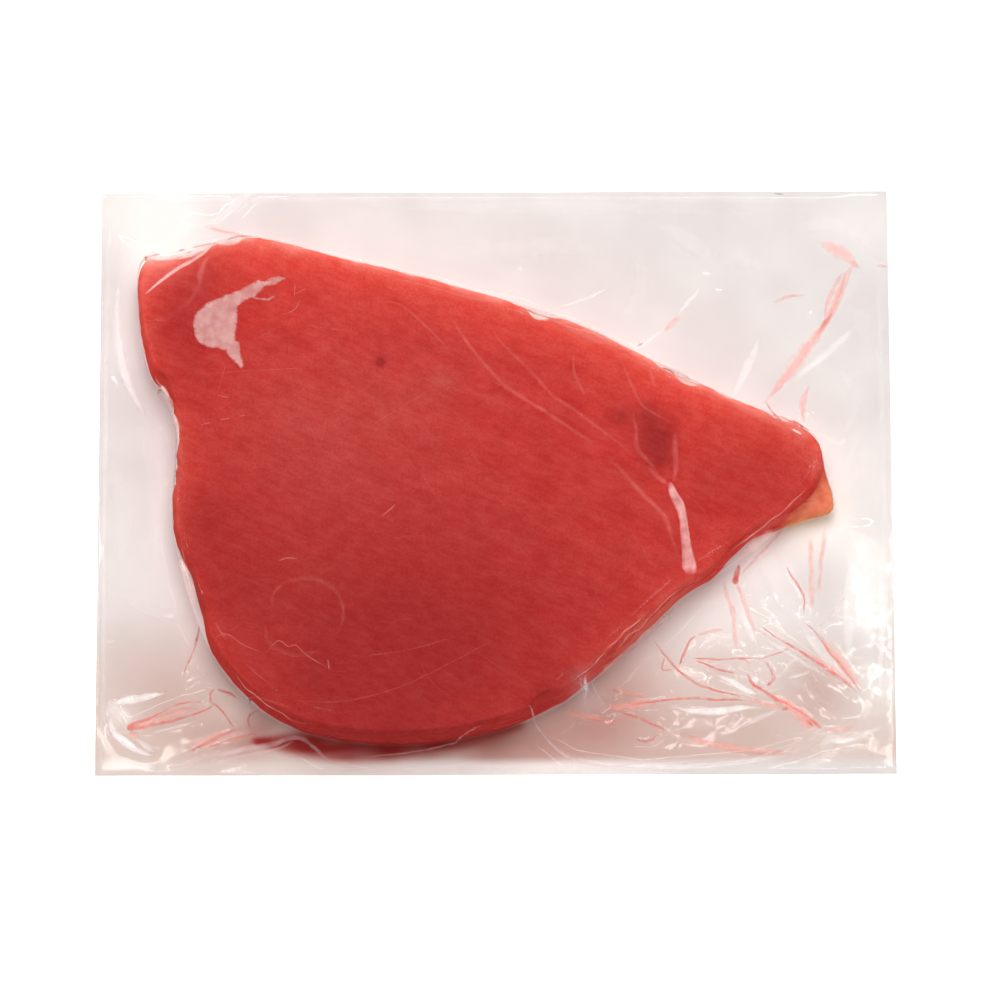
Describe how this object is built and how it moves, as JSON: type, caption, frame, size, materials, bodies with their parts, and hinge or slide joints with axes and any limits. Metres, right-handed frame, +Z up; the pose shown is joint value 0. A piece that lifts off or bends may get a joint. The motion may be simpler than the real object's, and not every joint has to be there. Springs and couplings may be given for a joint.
{
  "type": "vacuum-packed raw tuna steak",
  "caption": "Raw red tuna steak, cut flat and tapering to a narrow end, sealed tight in a clear oblong vacuum pouch whose crumpled rim runs out all round it.",
  "frame": {"origin": "under the middle of the pouch, on the face it rests on", "axes": "+X along the pouch's long side, towards the steak's narrow end; +Y along its short side, towards the steak's long straight edge; +Z up through the steak's thickness"},
  "size_m": [0.2, 0.15, 0.0217],
  "materials": {
    "raw_tuna": "moist",
    "clear_film": "gloss"
  },
  "bodies": {
    "root": {"tuna_steak": "raw_tuna", "film_lower": "clear_film", "film_upper": "clear_film"}
  },
  "joints": []
}
